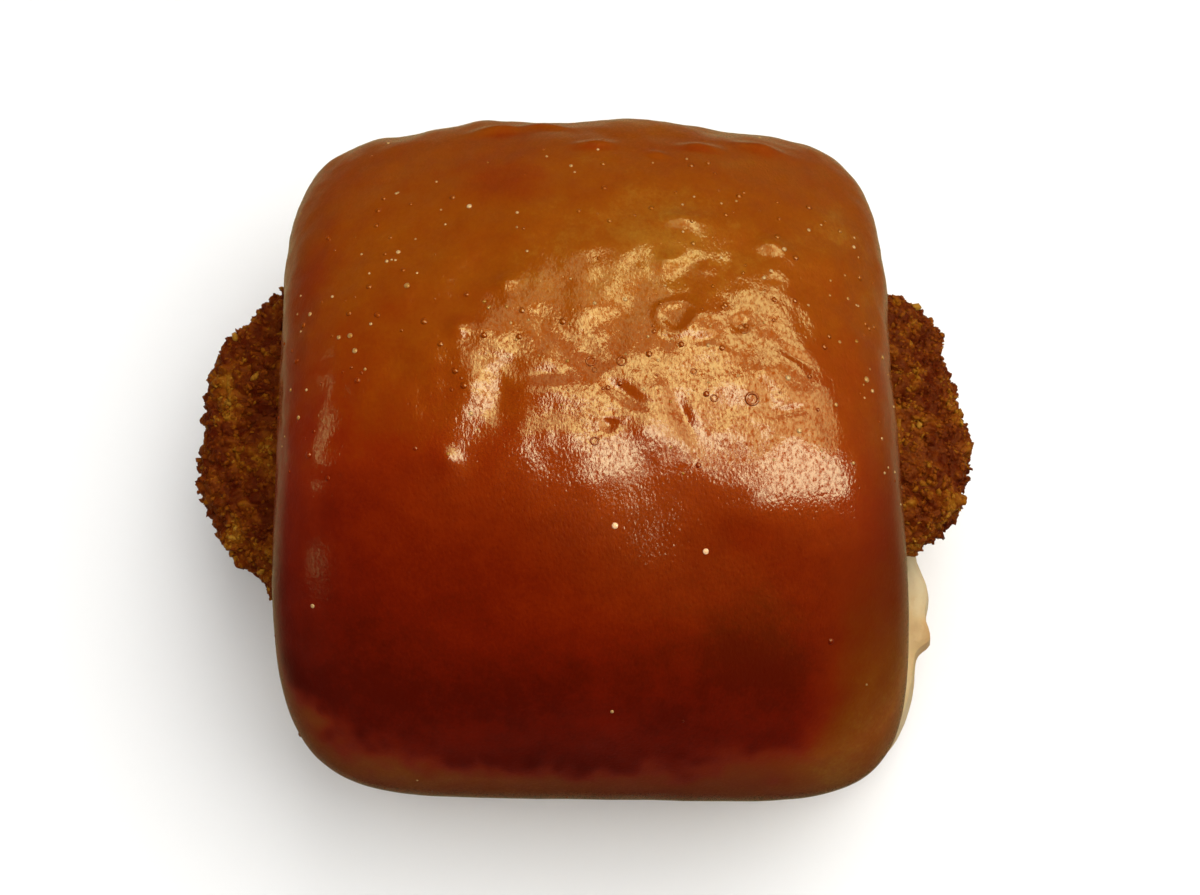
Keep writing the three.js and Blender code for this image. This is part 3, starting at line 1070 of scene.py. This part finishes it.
def scattered(mesh, count, rng):
    """Random places on the two ends that stick out, and the directions out of the surface."""
    places, normals = read_mesh(mesh)
    mesh.calc_loop_triangles()
    triangles = np.empty(len(mesh.loop_triangles) * 3, dtype=np.int32)
    mesh.loop_triangles.foreach_get("vertices", triangles)
    triangles = triangles.reshape(-1, 3)
    corners = places[triangles]
    sides = np.cross(corners[:, 1] - corners[:, 0], corners[:, 2] - corners[:, 0])
    weights = np.linalg.norm(sides, axis=1)
    weights = weights * (smooth_step(*BARE_ENDS, np.abs(corners[:, 0, 0])) + HIDDEN_SHARE)
    chosen = rng.choice(len(triangles), size=count, p=weights / weights.sum())
    spread = rng.dirichlet((1, 1, 1), size=count)
    return (corners[chosen] * spread[:, :, None]).sum(axis=1), normals[triangles[chosen, 0]]


def build_crumbs(breading):
    """Loose-looking crumbs, half sunk in the breading, and a few coarse flakes."""
    rng = np.random.default_rng(CRUMB_SEED)
    centres, outward = scattered(breading.data, CRUMB_COUNT, rng)
    size = mix(CRUMB_SIZES[0], CRUMB_SIZES[1], rng.random(CRUMB_COUNT) ** 1.6)
    tone = breading_tone(centres / MM) + rng.normal(0, 0.13, CRUMB_COUNT)
    places, normals = read_mesh(breading.data)
    for number, (x, y, z, radius, flake_tone) in enumerate(FLAKES):
        nearest = np.argmin(np.linalg.norm(places / MM - (x, y, z), axis=1))
        centres[number] = places[nearest]
        outward[number] = normals[nearest]
        size[number] = radius
        tone[number] = flake_tone
    shape, shape_faces = crumb_shape()
    axes = np.linalg.qr(rng.normal(size=(CRUMB_COUNT, 3, 3)))[0]
    lengths = rng.uniform((0.8, 0.6, 0.4), (1.6, 1.1, 0.8), (CRUMB_COUNT, 3))
    lumps = shape[None] * rng.uniform(*CRUMB_LUMPS, (CRUMB_COUNT, len(shape), 1))
    grains = np.einsum("nij,nkj->nki", axes * lengths[:, None, :], lumps) * size[:, None, None] * MM
    lift = size * rng.uniform(*CRUMB_LIFT, CRUMB_COUNT) * MM
    vertices = (grains + (centres + outward * lift[:, None])[:, None, :]).reshape(-1, 3)
    faces = (shape_faces[None] + (np.arange(CRUMB_COUNT) * len(shape))[:, None, None]).reshape(-1, 3)
    piece = mesh_object("crumbs", vertices, faces.tolist())
    piece.data.materials.append(breading.data.materials[0])
    add_values(piece, "tone", np.repeat(tone, len(shape)))
    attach(piece, "root")


# Camera, floor and light.

def add_camera():
    data = bpy.data.cameras.new("camera")
    data.sensor_width = 36
    data.lens = CAMERA_LENS
    camera = bpy.data.objects.new("camera", data)
    back = Vector((0, -math.cos(CAMERA_ELEVATION), math.sin(CAMERA_ELEVATION)))
    camera.location = CAMERA_TARGET + back * CAMERA_DISTANCE
    camera.rotation_euler = (math.pi / 2 - CAMERA_ELEVATION, 0, 0)
    bpy.context.scene.collection.objects.link(camera)
    bpy.context.scene.camera = camera


def add_panel(name, right, back, radiance, color=(1, 1, 1), mirrored=False):
    """A level soft panel overhead, between these angles from the zenith in degrees.

    A mirrored one shows only as a reflection, any other one only lights the pieces.
    """
    height = PANEL_HEIGHT if mirrored else LAMP_HEIGHT
    x = [height * math.tan(math.radians(angle)) for angle in right]
    y = [height * math.tan(math.radians(angle)) for angle in back]
    data = bpy.data.lights.new(name, "AREA")
    data.shape = "RECTANGLE"
    data.size = x[1] - x[0]
    data.size_y = y[1] - y[0]
    data.energy = radiance * math.pi * data.size * data.size_y
    data.color = color
    light = bpy.data.objects.new(name, data)
    light.location = (sum(x) / 2, sum(y) / 2, height + BUN_HEIGHT * MM)
    light.visible_glossy = mirrored
    light.visible_diffuse = not mirrored
    bpy.context.scene.collection.objects.link(light)


def add_floor():
    half = 6
    corners = [(-half, -half, 0), (half, -half, 0), (half, half, 0), (-half, half, 0)]
    floor = mesh_object("floor", np.array(corners), [(0, 1, 2, 3)], smooth=False)
    material, *_, shader = new_material("floor_white")
    shader.inputs["Base Color"].default_value = (0.87, 0.865, 0.855, 1)
    shader.inputs["Roughness"].default_value = 0.9
    floor.data.materials.append(material)
    floor.visible_glossy = False


def add_world():
    """Dim air above, and below the horizon the soft glow that the rims mirror, most at the back."""
    world = bpy.data.worlds.new("world")
    world.use_nodes = True
    nodes = world.node_tree.nodes
    links = world.node_tree.links
    direction = nodes.new("ShaderNodeTexCoord").outputs["Generated"]
    split = nodes.new("ShaderNodeSeparateXYZ")
    links.new(direction, split.inputs["Vector"])
    below = nodes.new("ShaderNodeMapRange")
    below.interpolation_type = "SMOOTHSTEP"
    below.inputs["From Min"].default_value = -0.3
    below.inputs["From Max"].default_value = -0.8
    below.inputs["To Min"].default_value = 0.006
    below.inputs["To Max"].default_value = 0.36
    links.new(split.outputs["Z"], below.inputs["Value"])
    behind = math_node(nodes, links, "MULTIPLY_ADD", split.outputs["Y"], 1.2, 0.55, clamp=True)
    glow = math_node(nodes, links, "MULTIPLY", below.outputs["Result"], behind)
    seen = nodes.new("ShaderNodeLightPath").outputs["Is Camera Ray"]
    strength = math_node(nodes, links, "MAXIMUM", seen, glow)
    links.new(strength, nodes["Background"].inputs["Strength"])
    colors = ((0, (1, 0.82, 0.4)), (1, (0.9, 0.89, 0.87)))
    links.new(ramp_node(nodes, links, seen, colors), nodes["Background"].inputs["Color"])
    bpy.context.scene.world = world


top_parts = build_top()
shift = frame_shift(top_parts[0], "bun_top")
glazed_top = build_glazed_top(*top_parts, shift)
build_bubbles(glazed_top)
build_pale_base(shift)
breading = build_breading(shift, breading_material())
build_crumbs(breading)
add_camera()
add_floor()
for name, right, back, radiance in LAMPS:
    add_panel(name, right, back, radiance)
for name, right, back, radiance, color in REFLECTIONS:
    add_panel(name, right, back, radiance, color, mirrored=True)
add_world()
bpy.context.scene.view_settings.view_transform = "Standard"
